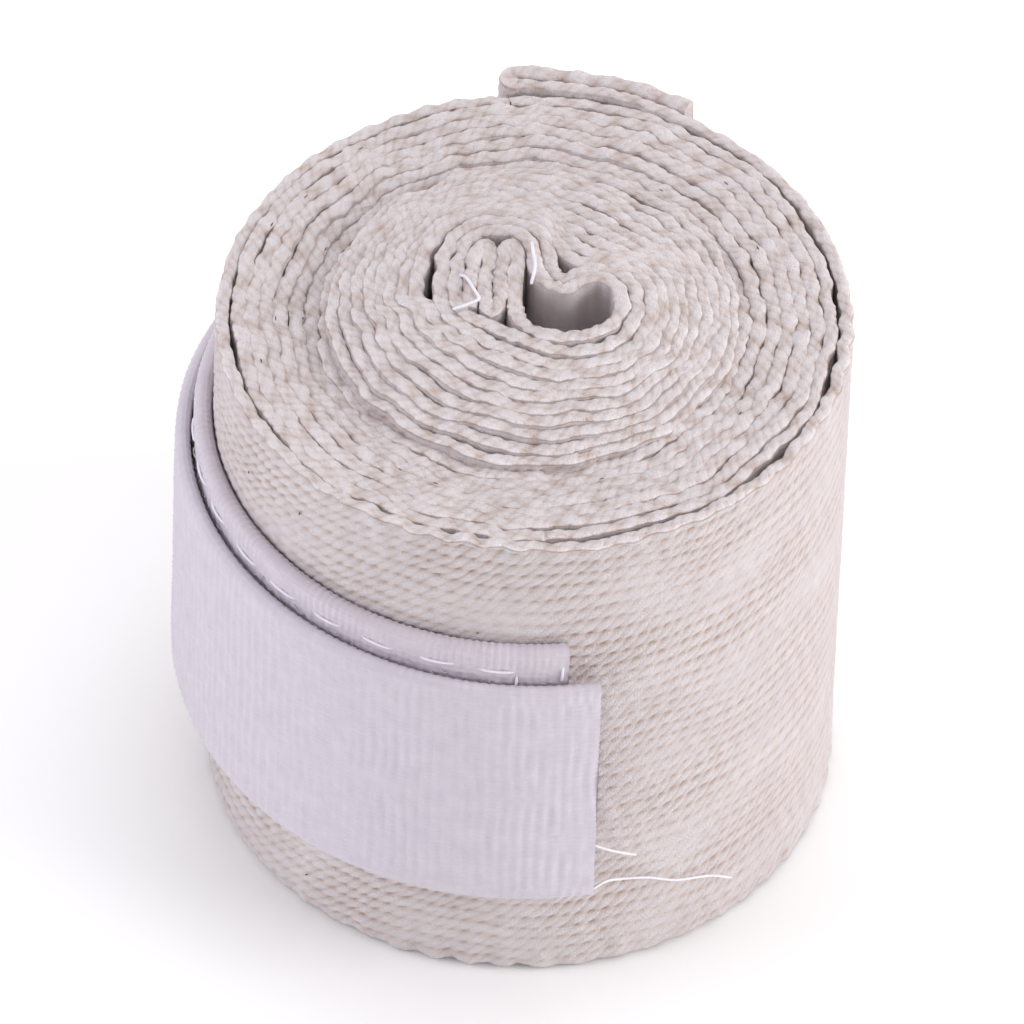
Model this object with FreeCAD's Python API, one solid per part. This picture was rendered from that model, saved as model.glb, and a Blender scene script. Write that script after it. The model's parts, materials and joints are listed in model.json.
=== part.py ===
import FreeCAD, Part
import os
from math import cos, hypot, radians, sin

# A boxing hand wrap rolled up for storage. The roll stands on one edge of the cotton band at z = 0,
# the roll's axis is Z, and the band winds outwards counterclockwise seen from above. Angles are in
# degrees from +X, lengths in millimetres.

# The cotton band
BAND_WIDTH = 50.0            # the band stands upright, so this is the roll's height
CLOTH = 1.15                 # thickness of one turn of cloth
# Outer face of the last turn: (angle, radius). It ends at 97 degrees, lifted by the loop tape under it.
LAST_TURN = [(-263.0, 24.6), (-180.0, 25.1), (-77.2, 25.5), (0.0, 25.75), (65.3, 26.1), (97.0, 26.6)]
CLOTH_END = 97.0             # where the folded hem ends
LIFT_OFF = -77.2             # where the last half turn leaves the roll when it is peeled
GAP = 0.3                    # clear space between pieces that move apart

# The inner group of turns, pushed up a little like a telescope
CORE_RADIUS = 16.5
CORE_RECESS = 2.0            # how far its lower edge stands above the table
CORE_CROWN = 52.6            # top of the inner turns
CORE_SHOULDER = 51.2         # top of the outermost of the inner turns
CORE_CENTRE = (0.6, 0.0)     # centre of the innermost folds
FOLD_RADIUS = 7.2
HOLE_CENTRE = (2.7, -1.0)    # the hollow in the middle of the roll
HOLE_RADIUS = 3.1
HOLE_HALF_LENGTH = 1.1
LOOP_POCKET = (-3.6, 0.6)    # where the thumb loop lies folded between the innermost folds
LOOP_STRAP_WIDTH = 25.0
LOOP_HALF_LENGTH = 3.0
LOOP_STRAP_RADIUS = 1.2

# The fastening tapes
TAPE_WIDTH = 25.0
LOOP_TAPE_TOP = 38.8
LOOP_TAPE_THICK = 1.5
LOOP_TAPE_START = 99.0
LOOP_TAPE_END = 281.7
HOOK_TAPE_TOP = 36.5
HOOK_TAPE_THICK = 1.2
HOOK_TAPE_END = 287.0
HEM_FLAP = 1.15              # the second layer of cloth in the folded hem

# The chain of short stiff pieces that stands for bending cloth and tape
BAND_LINKS = 9
HEM_LINKS = 2
TAB_LINKS = 12
LINK_ANGLE = (HOOK_TAPE_END - LIFT_OFF) / (BAND_LINKS + HEM_LINKS + TAB_LINKS)
SLIT = 0.33                  # half of the slit between two links, in degrees

# Sewing thread
THREAD = 0.15                # radius of a loose thread
STITCH = 3.0                 # length of one visible stitch
STITCH_PITCH = 4.8
STITCH_HEIGHT = 0.45
STITCH_STANDS = 0.2          # how far a stitch stands out of the tape

os.makedirs("parts", exist_ok=True)


def polar(radius, angle, z=0.0):
    """Point at a radius and an angle around the roll's axis."""
    return FreeCAD.Vector(radius * cos(radians(angle)), radius * sin(radians(angle)), z)


def read_table(table, angle):
    """Value of a (angle, value) table at an angle, straight between its rows."""
    for (a0, v0), (a1, v1) in zip(table, table[1:]):
        if angle <= a1:
            return v0 + (v1 - v0) * (angle - a0) / (a1 - a0)
    return table[-1][1]


def cloth_face(angle):
    """Outer face of the last turn of cloth."""
    return read_table(LAST_TURN, angle)


def loop_tape_face(angle):
    """Outer face of the loop tape, which lies on the part of the last turn that stays on the roll."""
    return cloth_face(angle - 360.0) + LOOP_TAPE_THICK


def tape_seat(angle):
    """Inner face of the hook tape: on the hem up to the cloth's end, then down onto the loop tape."""
    hem = cloth_face(CLOTH_END) + HEM_FLAP
    if angle <= CLOTH_END:
        return cloth_face(angle) + HEM_FLAP
    if angle >= LIFT_OFF + 360.0:
        return loop_tape_face(LIFT_OFF + 360.0) + GAP
    settled = min(1.0, (angle - CLOTH_END) / 30.0)
    return hem + (loop_tape_face(angle) + GAP - hem) * settled


def tape_face(angle):
    """Outer face of the hook tape."""
    return tape_seat(angle) + HOOK_TAPE_THICK


def arc(radius_at, start, end, z):
    """Smooth edge that follows a radius function from one angle to another."""
    steps = max(3, int(abs(end - start) / 6.0))
    points = []
    for i in range(steps + 1):
        angle = start + (end - start) * i / steps
        points.append(polar(radius_at(angle), angle, z))
    curve = Part.BSplineCurve()
    curve.interpolate(points)
    return curve.toShape()


def upright(edges, height):
    """Solid that stands on a closed outline."""
    face = Part.Face(Part.Wire(edges))
    return face.extrude(FreeCAD.Vector(0, 0, height))


def strip(inner_at, outer_at, start, end, low, high):
    """Curved strip of cloth or tape between two angles and two heights."""
    inner = arc(inner_at, start, end, low)
    outer = arc(outer_at, end, start, low)
    far = Part.makeLine(polar(inner_at(end), end, low), polar(outer_at(end), end, low))
    near = Part.makeLine(polar(outer_at(start), start, low), polar(inner_at(start), start, low))
    return upright([inner, far, outer, near], high - low)


def obround(centre, half_length, radius, low, high):
    """Slot-shaped block that stands upright, with its length along X."""
    x, y = centre
    height = high - low
    body = Part.makeBox(2 * half_length, 2 * radius, height, FreeCAD.Vector(x - half_length, y - radius, low))
    for side in (-half_length, half_length):
        body = body.fuse(Part.makeCylinder(radius, height, FreeCAD.Vector(x + side, y, low)))
    return body.removeSplitter()


def turned(shape, centre, angle):
    """Copy turned about an upright line."""
    copy = shape.copy()
    copy.rotate(FreeCAD.Vector(centre[0], centre[1], 0), FreeCAD.Vector(0, 0, 1), angle)
    return copy


def save(name, shape):
    """Write one named piece."""
    shape.exportStep("parts/" + name + ".step")


def outer_coil():
    """Outer turns of the band, with a step where the last half turn lies against them."""
    def under_links(angle):
        return cloth_face(angle) - CLOTH - GAP

    static_start = CLOTH_END - 360.0
    outline = [
        arc(cloth_face, static_start, LIFT_OFF, 0.0),
        Part.makeLine(polar(cloth_face(LIFT_OFF), LIFT_OFF), polar(under_links(LIFT_OFF), LIFT_OFF)),
        arc(under_links, LIFT_OFF, CLOTH_END, 0.0),
        Part.makeLine(polar(under_links(CLOTH_END), CLOTH_END), polar(cloth_face(static_start), CLOTH_END)),
    ]
    body = upright(outline, BAND_WIDTH)
    return body.cut(Part.makeCylinder(CORE_RADIUS + GAP, BAND_WIDTH))


def inner_coil():
    """Inner turns of the band, standing a little higher, around the innermost folds."""
    shoulder = FreeCAD.Vector(CORE_RADIUS, 0, CORE_SHOULDER)
    outline = Part.makePolygon([
        FreeCAD.Vector(0, 0, CORE_RECESS),
        FreeCAD.Vector(CORE_RADIUS, 0, CORE_RECESS),
        shoulder,
        FreeCAD.Vector(CORE_RADIUS * 0.6, 0, CORE_CROWN),
        FreeCAD.Vector(0, 0, CORE_CROWN),
        FreeCAD.Vector(0, 0, CORE_RECESS),
    ])
    body = Part.Face(outline).revolve(FreeCAD.Vector(0, 0, 0), FreeCAD.Vector(0, 0, 1), 360)
    bore = Part.makeCylinder(FOLD_RADIUS + 0.05, 60.0, FreeCAD.Vector(CORE_CENTRE[0], CORE_CENTRE[1], 0))
    return body.cut(bore)


def core_folds():
    """Innermost folds of the band, around the hollow and the folded thumb loop."""
    place = FreeCAD.Vector(CORE_CENTRE[0], CORE_CENTRE[1], CORE_RECESS)
    body = Part.makeCylinder(FOLD_RADIUS, CORE_CROWN - CORE_RECESS, place)
    body = body.cut(obround(HOLE_CENTRE, HOLE_HALF_LENGTH, HOLE_RADIUS, 0.0, 60.0))
    middle = (CORE_RECESS + CORE_CROWN) / 2
    half = LOOP_STRAP_WIDTH / 2 + GAP
    pocket = obround(LOOP_POCKET, LOOP_HALF_LENGTH, LOOP_STRAP_RADIUS + 0.1, middle - half, middle + half)
    return body.cut(turned(pocket, LOOP_POCKET, 90))


def thumb_loop():
    """Flattened loop of band that goes over the thumb, folded away inside the roll."""
    middle = (CORE_RECESS + CORE_CROWN) / 2
    low, high = middle - LOOP_STRAP_WIDTH / 2, middle + LOOP_STRAP_WIDTH / 2
    strap = obround(LOOP_POCKET, LOOP_HALF_LENGTH, LOOP_STRAP_RADIUS, low, high)
    slit = obround(LOOP_POCKET, LOOP_HALF_LENGTH - 0.2, 0.2, low - 1, high + 1)
    return turned(strap.cut(slit), LOOP_POCKET, 90)


def thumb_loop_tack():
    """Bar of close stitches that sews the thumb loop to the band."""
    middle = (CORE_RECESS + CORE_CROWN) / 2
    bars = []
    for i in range(8):
        z = middle - 8.75 + 2.5 * i
        corner = FreeCAD.Vector(LOOP_POCKET[0] - 0.15, LOOP_POCKET[1] - LOOP_HALF_LENGTH + 0.3, z)
        bars.append(Part.makeBox(0.3, 1.4, 0.5, corner))
    return Part.makeCompound(bars)


def stitch_row(face_at, start, end, z):
    """Row of separate stitches along a tape."""
    radius = face_at((start + end) / 2)
    step = STITCH_PITCH / radians(1) / radius
    length = STITCH / radians(1) / radius
    count = int((end - start - length) / step) + 1
    margin = (end - start - length - (count - 1) * step) / 2
    stitches = []
    for i in range(count):
        first = start + margin + i * step
        stitches.append(strip(face_at, lambda a: face_at(a) + STITCH_STANDS, first, first + length,
                              z - STITCH_HEIGHT / 2, z + STITCH_HEIGHT / 2))
    return stitches


def cross_seam(face_at, angle, low, high):
    """Column of short stitches across a tape."""
    stitches = []
    z = low
    while z + STITCH * 0.6 < high:
        stitches.append(strip(face_at, lambda a: face_at(a) + STITCH_STANDS, angle - 0.5, angle + 0.5,
                              z, z + STITCH * 0.6))
        z += STITCH
    return stitches


def loop_stitches():
    """Seams along both edges of the loop tape and across its visible end."""
    top = LOOP_TAPE_TOP - 4.0
    bottom = LOOP_TAPE_TOP - TAPE_WIDTH + 3.0
    rows = stitch_row(loop_tape_face, LOOP_TAPE_START + 1, LOOP_TAPE_END - 1, top)
    rows += stitch_row(loop_tape_face, LOOP_TAPE_START + 1, LOOP_TAPE_END - 1, bottom)
    rows += cross_seam(loop_tape_face, LOOP_TAPE_END - 9.0, bottom + 1.0, top - 0.6)
    return Part.makeCompound(rows)


def hook_stitches(start, end):
    """Seams that hold the hook tape on the hem, on one of its links."""
    rows = []
    for z in (HOOK_TAPE_TOP - 3.0, HOOK_TAPE_TOP - TAPE_WIDTH + 3.0):
        rows += stitch_row(tape_face, start + 1, end - 1, z)
    rows += cross_seam(tape_face, (start + end) / 2, HOOK_TAPE_TOP - TAPE_WIDTH + 4.5, HOOK_TAPE_TOP - 4.5)
    return Part.makeCompound(rows)


def thread_tail(rows):
    """Loose end of sewing thread through (angle, radius, height) rows."""
    points = [polar(radius, angle, z) for angle, radius, z in rows]
    curve = Part.BSplineCurve()
    curve.interpolate(points)
    edge = curve.toShape()
    ring = Part.Wire(Part.makeCircle(THREAD, points[0], edge.tangentAt(edge.FirstParameter)))
    return Part.Wire([edge]).makePipeShell([ring], True, True)


def link_span(number):
    """Angles between which the link with this number lies, clear of its neighbours."""
    start = LIFT_OFF + LINK_ANGLE * number
    return start + SLIT, start + LINK_ANGLE - SLIT


def write_chain():
    """Last half turn, hem and hook tape as a chain of links."""
    hook_low, hook_high = HOOK_TAPE_TOP - TAPE_WIDTH, HOOK_TAPE_TOP
    for i in range(BAND_LINKS + HEM_LINKS):
        start, end = link_span(i)
        cloth = strip(lambda a: cloth_face(a) - CLOTH, cloth_face, start, end, 0.0, BAND_WIDTH)
        if i < BAND_LINKS:
            save("band_link_%02d" % (i + 1), cloth)
            continue
        number = i - BAND_LINKS + 1
        hem = strip(lambda a: cloth_face(a) - CLOTH, lambda a: cloth_face(a) + HEM_FLAP - 0.02,
                    start, end, 0.0, BAND_WIDTH + 0.6)
        save("hem_link_%02d" % number, hem)
        save("hook_stitches_%02d" % number, hook_stitches(start, end))
    for i in range(HEM_LINKS + TAB_LINKS):
        start, end = link_span(BAND_LINKS + i)
        save("hook_tape_link_%02d" % (i + 1), strip(tape_seat, tape_face, start, end, hook_low, hook_high))


save("outer_coil", outer_coil())
save("inner_coil", inner_coil())
save("core_folds", core_folds())
save("thumb_loop", thumb_loop())
save("thumb_loop_tack", thumb_loop_tack())
save("loop_tape", strip(lambda a: cloth_face(a - 360.0) + 0.02, loop_tape_face, LOOP_TAPE_START,
                        LOOP_TAPE_END, LOOP_TAPE_TOP - TAPE_WIDTH, LOOP_TAPE_TOP))
save("loop_tape_stitches", loop_stitches())
write_chain()
tail_start = HOOK_TAPE_END - SLIT + 0.05
tail_radius = tape_seat(HOOK_TAPE_END) + HOOK_TAPE_THICK / 2
save("thread_tail_long", thread_tail([
    (tail_start, tail_radius, 12.0), (292.0, 26.25, 10.8), (304.0, 26.15, 8.0), (316.0, 26.2, 5.0)]))
save("thread_tail_short", thread_tail([
    (tail_start, tail_radius, 17.2), (290.5, tail_radius - 0.15, 15.9), (294.5, tail_radius - 0.35, 14.6)]))
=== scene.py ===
# %% [markdown]
# # A rolled cotton hand wrap
# A boxer winds this long cotton band round the hand before training. Between sessions it is kept
# rolled up, and a white hook tape tab closes the roll by gripping a soft loop tape on its last turn.
# This lesson builds the roll as what it is: one long strip of woven cloth, wound from the middle
# outwards, with two sewn tapes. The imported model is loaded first, as the frame that all pieces fit.

# %% Load the frame and measure it
import bpy
import json
import math
import numpy as np
from mathutils import Euler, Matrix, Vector


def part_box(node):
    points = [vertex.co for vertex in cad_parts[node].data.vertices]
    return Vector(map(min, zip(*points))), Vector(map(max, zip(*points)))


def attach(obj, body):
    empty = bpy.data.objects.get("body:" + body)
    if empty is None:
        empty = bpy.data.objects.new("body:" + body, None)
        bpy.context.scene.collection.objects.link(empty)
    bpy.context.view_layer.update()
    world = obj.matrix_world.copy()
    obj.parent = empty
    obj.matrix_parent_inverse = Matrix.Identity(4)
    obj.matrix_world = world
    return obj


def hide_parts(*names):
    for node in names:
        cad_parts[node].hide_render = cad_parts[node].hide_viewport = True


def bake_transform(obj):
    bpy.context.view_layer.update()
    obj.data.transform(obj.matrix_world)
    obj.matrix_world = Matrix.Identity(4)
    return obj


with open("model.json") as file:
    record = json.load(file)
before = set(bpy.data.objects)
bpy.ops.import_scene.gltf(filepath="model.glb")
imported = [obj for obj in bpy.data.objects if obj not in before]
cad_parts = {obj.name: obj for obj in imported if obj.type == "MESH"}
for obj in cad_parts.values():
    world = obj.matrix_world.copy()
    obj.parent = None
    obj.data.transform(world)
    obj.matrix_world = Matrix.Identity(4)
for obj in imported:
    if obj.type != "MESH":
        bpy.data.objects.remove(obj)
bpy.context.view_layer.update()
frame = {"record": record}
MM = 0.001
BAND_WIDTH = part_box("band_link_01")[1].z / MM
print("band width %.1f mm" % BAND_WIDTH)


# %% [markdown]
# ## Where the cloth lies
# The roll is a spiral, so every place on the band has one number that says how far round it is: an
# angle that keeps growing from turn to turn. The band ends at 97 degrees, at the back. The radius of
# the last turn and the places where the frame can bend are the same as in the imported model.

# %% Angles and radii of the last turn
joints = {j["name"]: j for j in frame["record"]["behaviour"]["joints"]}
peel = [joints["peel_%02d" % (k + 1)] for k in range(23)]
LIFT_OFF = math.degrees(math.atan2(peel[0]["pos_m"][1], peel[0]["pos_m"][0]))
SECOND = math.degrees(math.atan2(peel[1]["pos_m"][1], peel[1]["pos_m"][0]))
LINK = SECOND - LIFT_OFF
CLOTH_END = 97.0
TAPE_END = 287.0
CLOTH = 1.15
LAST_TURN = [(-263.0, 24.6), (-180.0, 25.1), (-77.2, 25.5), (0.0, 25.75), (65.3, 26.1), (97.0, 26.6)]
PITCH = 1.13


def bend(k):
    """Angle of the frame's joint number k, counted from 0."""
    return LIFT_OFF + LINK * k


def cloth_middle(angle):
    """Radius of the middle of the cloth at an angle that keeps growing from turn to turn."""
    angles, radii = zip(*LAST_TURN)
    radius = np.interp(angle, angles, radii) - CLOTH / 2
    inside = np.minimum(np.asarray(angle, float) - angles[0], 0.0)
    return radius + PITCH * inside / 360.0


print("links of %.2f degrees from %.1f" % (LINK, LIFT_OFF))


# %% [markdown]
# ## Unevenness
# Cloth is never even. A sum of a few waves in random directions gives a smooth, seamless wobble, and
# a fixed seed makes it the same each time. It is cheap, and it needs no simulation.

# %% A smooth random wobble
def wobble(x, y, wavelength, seed, waves=14):
    """Smooth random field of about -1 to 1 over a plane, in millimetres."""
    rng = np.random.default_rng(seed)
    total = np.zeros(np.broadcast(x, y).shape)
    for _ in range(waves):
        turn = rng.uniform(0, 2 * math.pi)
        k = 2 * math.pi / (wavelength * rng.uniform(0.75, 1.35))
        total = total + np.sin(k * (x * math.cos(turn) + y * math.sin(turn)) + rng.uniform(0, 2 * math.pi))
    return total * math.sqrt(2.0 / waves) * 0.6


# %% [markdown]
# ## A strip of cloth
# Every cloth and tape piece here is a strip that stands on its edge and follows a line seen from
# above. The strip's section is walked round once: up the outer face, over the top edge, down the
# inner face and under the lower edge. Columns along the line times points round the section make a
# grid, and the grid makes the faces. Each point can be pushed out along the surface by a relief.

# %% Section of a strip
def section(outer_rows, edge_rows, inner_rows):
    """Points round a strip's section: face 0 outer, 1 top, 2 inner, 3 lower, and a share along it."""
    kinds = [(0, f) for f in np.linspace(0, 1, outer_rows)]
    kinds += [(1, f) for f in np.linspace(0, 1, edge_rows + 2)[1:-1]]
    kinds += [(2, f) for f in np.linspace(1, 0, inner_rows)]
    kinds += [(3, f) for f in np.linspace(0, 1, edge_rows + 2)[1:-1]]
    return np.array(kinds)


# %% Grid of a strip
def strip_grid(line, thick, low, high, profile, face_relief, edge_relief, edge_wave=None, round_by=1.0):
    """Points and marks of a strip. line holds x, y and length along it, in millimetres."""
    x, y, s = line
    tx, ty = np.gradient(x, s), np.gradient(y, s)
    size = np.hypot(tx, ty)
    nx, ny = ty / size, -tx / size
    kind, share = profile[:, 0][None, :], profile[:, 1][None, :]
    low, high, S = low[:, None], high[:, None], s[:, None]
    r = thick / 2
    rise = r * round_by
    face = (kind == 0) | (kind == 2)
    side = np.where(kind == 0, 1.0, -1.0)
    swing = np.where(kind == 1, math.pi * share, math.pi + math.pi * share)
    z = np.where(face, low + rise + (high - low - 2 * rise) * share,
                 np.where(kind == 1, high - rise, low + rise) + rise * np.sin(swing))
    across = np.where(face, side * r, r * np.cos(swing))
    out, up = np.where(face, side, np.cos(swing)), np.where(face, 0.0, np.sin(swing))
    near_edge = np.clip(np.minimum(high - z, z - low) / 1.0, 0, 1)
    push = np.where(face, face_relief(S, z, side) * near_edge + edge_relief(S, across / r * side, z) *
                    (1 - near_edge), edge_relief(S, across / r, z))
    offset = across + push * out
    if edge_wave is not None:
        offset = offset + edge_wave(S, z, low, high)
    points = np.stack([x[:, None] + nx[:, None] * offset, y[:, None] + ny[:, None] * offset,
                       z + push * up], axis=2)
    # Painted shade: the third mark says how far the colour is darkened. It grows with how deep the relief
    # is pushed in, plus patchy lines along the sides of a top edge, where two turns meet.
    patchy = np.clip(0.45 + 0.5 * wobble(S, S * 0.21, 6.0, 16), 0, 1)
    painted_shade_amount = np.clip(-push / 0.30 + np.where(kind == 1, 0.7 * patchy * np.abs(across / r) ** 8, 0), 0, 1)
    marks = np.stack([S + 0 * z, z + 0 * S + np.where(face, 0, across), painted_shade_amount + 0 * S], axis=2)
    return points, marks


def grid_normals(points):
    """Smooth normals of a grid that closes round its section."""
    along = np.gradient(points, axis=0)
    around = np.roll(points, -1, axis=1) - np.roll(points, 1, axis=1)
    normal = np.cross(along, around)
    return normal / np.maximum(np.linalg.norm(normal, axis=2, keepdims=True), 1e-12)


# %% Mesh from a part of a grid
def make_mesh(name, verts, quads, marks=None, normals=None, material=None):
    """Mesh object from arrays, in millimetres, with its marks kept for the materials. Normals, where
    given, are one for each face corner."""
    mesh = bpy.data.meshes.new(name)
    mesh.vertices.add(len(verts))
    mesh.vertices.foreach_set("co", (verts * MM).astype(np.float32).ravel())
    mesh.loops.add(quads.size)
    mesh.loops.foreach_set("vertex_index", quads.astype(np.int32).ravel())
    mesh.polygons.add(len(quads))
    mesh.polygons.foreach_set("loop_start", np.arange(0, quads.size, quads.shape[1], dtype=np.int32))
    mesh.polygons.foreach_set("use_smooth", np.ones(len(quads), bool))
    mesh.update(calc_edges=True)
    if marks is not None:
        layer = mesh.attributes.new("weave", "FLOAT_VECTOR", "POINT")
        layer.data.foreach_set("vector", marks.astype(np.float32).ravel())
    if normals is not None:
        mesh.normals_split_custom_set(normals.reshape(-1, 3).tolist())
    piece = bpy.data.objects.new(name, mesh)
    bpy.context.scene.collection.objects.link(piece)
    if material is not None:
        mesh.materials.append(material)
    return piece


def grid_piece(name, grid, first, last, material, cap_first=False, cap_last=False):
    """Piece made of the grid's columns first to last, with its ends closed where they are real ends.
    A cap's corners get the cap's own flat normal, so a cut end looks flat."""
    points, marks, normals = grid
    p, m, n = points[first:last + 1], marks[first:last + 1], normals[first:last + 1]
    rows, around = p.shape[:2]
    i, j = np.meshgrid(np.arange(rows - 1), np.arange(around), indexing="ij")
    k = (j + 1) % around
    quads = np.stack([i * around + j, (i + 1) * around + j, (i + 1) * around + k, i * around + k], axis=2)
    quads = quads.reshape(-1, 4)
    half = around // 2
    corners = n.reshape(-1, 3)[quads]
    for wanted, row, inner in ((cap_first, 0, 1), (cap_last, rows - 1, rows - 2)):
        if not wanted:
            continue
        loop = np.arange(around) + row * around
        a, b = loop[:half], loop[::-1][:half]
        cap = np.stack([a[:-1], a[1:], b[1:], b[:-1]], axis=1)
        quads = np.concatenate([quads, cap[:, ::-1] if row else cap])
        ahead = (p[row] - p[inner]).mean(axis=0)
        corners = np.concatenate([corners, np.tile(ahead / np.linalg.norm(ahead), (len(cap), 4, 1))])
    return make_mesh(name, p.reshape(-1, 3), quads, m.reshape(-1, 3), corners, material)


# %% [markdown]
# ## Materials
# One function turns the hex colours of a paint program into the linear numbers that a renderer
# mixes. One small function adds a node with its settings and links, so that a material reads as a
# list of its parts.

# %% Colour and node helpers
def linear(code, alpha=1.0):
    """Linear colour from an sRGB hex code."""
    parts = [int(code[i:i + 2], 16) / 255.0 for i in (1, 3, 5)]
    return [c / 12.92 if c <= 0.04045 else ((c + 0.055) / 1.055) ** 2.4 for c in parts] + [alpha]


def add_node(tree, kind, inputs=None, **settings):
    """Adds a node, sets its properties, and fills or links its inputs."""
    node = tree.nodes.new(kind)
    for key, value in settings.items():
        setattr(node, key, value)
    for key, value in (inputs or {}).items():
        if isinstance(value, bpy.types.NodeSocket):
            tree.links.new(value, node.inputs[key])
        else:
            node.inputs[key].default_value = value
    return node


def new_material(name):
    """Empty node material and its tree."""
    material = bpy.data.materials.new(name)
    material.use_nodes = True
    material.node_tree.nodes.clear()
    return material, material.node_tree


def finish_surface(tree, colour, bump, roughness, sheen, sheen_tint="#FFFFFF"):
    """Principled surface for a fibre material."""
    surface = add_node(tree, "ShaderNodeBsdfPrincipled", {
        "Base Color": colour, "Normal": bump, "Roughness": roughness, "Sheen Weight": sheen,
        "Sheen Roughness": 0.5, "Sheen Tint": linear(sheen_tint), "IOR": 1.53,
        "Specular IOR Level": 0.25})
    add_node(tree, "ShaderNodeOutputMaterial", {"Surface": surface.outputs[0]})


# %% [markdown]
# ### Unbleached cotton
# The band is raw cotton, spun into soft yarn and woven open. It scatters light in all directions,
# and is a warm off-white that goes brown in its pits, because light that bounces inside picks up the
# colour again and again. The pits and the yarn are in the mesh, and the brown of the pits is painted
# shade: the colour is mixed towards a brown where the relief is pushed in and along the sides of the
# top edges, where the turns meet. The faint halo of fibre ends is left to a little sheen. The fibres,
# about 0.02 mm thick, are too fine to show, so the streaks here are about 0.15 mm.

# %% Cotton
# The pit colour is a brown that the fibre streaks use, and that is also painted on as shade in pits and
# between turns.
def unbleached_cotton(light="#E7E0E3", shade="#DED6D9", pit="#B5957F"):
    """Raw cotton yarn, from the marks that each strip carries: length along, height and painted shade."""
    material, tree = new_material("unbleached_cotton")
    marks = add_node(tree, "ShaderNodeAttribute", attribute_name="weave")
    parts = add_node(tree, "ShaderNodeSeparateXYZ", {0: marks.outputs["Vector"]})
    flat = add_node(tree, "ShaderNodeCombineXYZ", {"X": parts.outputs["X"], "Y": parts.outputs["Y"]})
    turned = add_node(tree, "ShaderNodeMapping", {
        "Vector": flat.outputs[0], "Rotation": (0, 0, math.radians(-48)), "Scale": (2.2, 9.0, 1.0)})
    streaks = add_node(tree, "ShaderNodeTexNoise", {
        "Vector": turned.outputs[0], "Scale": 1.0, "Detail": 4.0, "Roughness": 0.7})
    fuzz = add_node(tree, "ShaderNodeTexNoise", {"Vector": flat.outputs[0], "Scale": 5.0, "Detail": 3.0})
    cloud = add_node(tree, "ShaderNodeTexNoise", {"Vector": flat.outputs[0], "Scale": 0.22, "Detail": 4.0,
                                                 "Roughness": 0.6})
    tone = add_node(tree, "ShaderNodeMapRange", {0: cloud.outputs[0], 1: 0.32, 2: 0.68})
    base = add_node(tree, "ShaderNodeMix", {"Factor": tone.outputs[0], "A": linear(shade),
                                            "B": linear(light)}, data_type="RGBA")
    thin = add_node(tree, "ShaderNodeMapRange", {0: streaks.outputs[0], 1: 0.50, 2: 0.74, 3: 0.0, 4: 0.22})
    streaked = add_node(tree, "ShaderNodeMix", {"Factor": thin.outputs[0], "A": base.outputs["Result"],
                                                "B": linear(pit)}, data_type="RGBA")
    # Painted shade: the colour is mixed towards the pit brown by the third mark, in pits and between turns.
    painted_shade_mix = add_node(tree, "ShaderNodeMix", {"Factor": parts.outputs["Z"],
                                              "A": streaked.outputs["Result"], "B": linear(pit)},
                      data_type="RGBA")
    rough = add_node(tree, "ShaderNodeMath", {0: streaks.outputs[0], 1: fuzz.outputs[0]}, operation="ADD")
    bump = add_node(tree, "ShaderNodeBump", {"Height": rough.outputs[0], "Strength": 0.9,
                                             "Distance": 0.00022})
    finish_surface(tree, painted_shade_mix.outputs["Result"], bump.outputs[0], 0.95, 0.25, "#FFF6F0")
    return material


cotton = unbleached_cotton()

# %% [markdown]
# ### Nylon tapes and thread
# Both fastening tapes are woven nylon. Nylon is smoother than cotton, so it has a slight sheen and a
# cool, faintly lilac white. The loop tape is napped, which makes it greyer and softer.

# %% Nylon
def woven_nylon(name, light, shade, across=2.2, along=1.1, sheen=0.15, roughness=0.62, relief=0.4):
    """Woven nylon with fine weft lines across and warp ribs along the strip, counted per millimetre."""
    material, tree = new_material(name)
    marks = add_node(tree, "ShaderNodeAttribute", attribute_name="weave")
    parts = add_node(tree, "ShaderNodeSeparateXYZ", {0: marks.outputs["Vector"]})
    flat = add_node(tree, "ShaderNodeCombineXYZ", {"X": parts.outputs["X"], "Y": parts.outputs["Y"]})
    weft = add_node(tree, "ShaderNodeTexWave", {"Vector": flat.outputs[0], "Scale": across * 0.314,
                                                "Distortion": 1.5, "Detail": 2.0}, bands_direction="Y")
    warp = add_node(tree, "ShaderNodeTexWave", {"Vector": flat.outputs[0], "Scale": along * 0.314,
                                                "Distortion": 2.5, "Detail": 2.0}, bands_direction="X")
    cloud = add_node(tree, "ShaderNodeTexNoise", {"Vector": flat.outputs[0], "Scale": 0.5, "Detail": 5.0,
                                                 "Roughness": 0.65})
    tone = add_node(tree, "ShaderNodeMapRange", {0: cloud.outputs[0], 1: 0.3, 2: 0.7})
    base = add_node(tree, "ShaderNodeMix", {"Factor": tone.outputs[0], "A": linear(shade),
                                            "B": linear(light)}, data_type="RGBA")
    # Painted shade: the colour goes towards the shade colour where the weave's relief is pushed in.
    painted_shade_mix = add_node(tree, "ShaderNodeMix", {"Factor": parts.outputs["Z"],
                                              "A": base.outputs["Result"], "B": linear(shade)},
                      data_type="RGBA")
    rough = add_node(tree, "ShaderNodeMath", {0: weft.outputs["Fac"], 1: warp.outputs["Fac"]},
                     operation="ADD")
    bump = add_node(tree, "ShaderNodeBump", {"Height": rough.outputs[0], "Strength": relief,
                                             "Distance": 0.00008})
    finish_surface(tree, painted_shade_mix.outputs["Result"], bump.outputs[0], roughness, sheen)
    return material


hook_nylon = woven_nylon("hook_tape_nylon", "#CFC8D1", "#C6BFC9")
loop_nylon = woven_nylon("loop_tape_nylon", "#D0C8D1", "#C5BCC6", across=1.6, along=1.7, sheen=0.4,
                         roughness=0.85)
thread_finish = woven_nylon("polyester_thread", "#F0EEF4", "#DEDAE4", across=3.0, along=3.0, relief=0.2)


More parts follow.
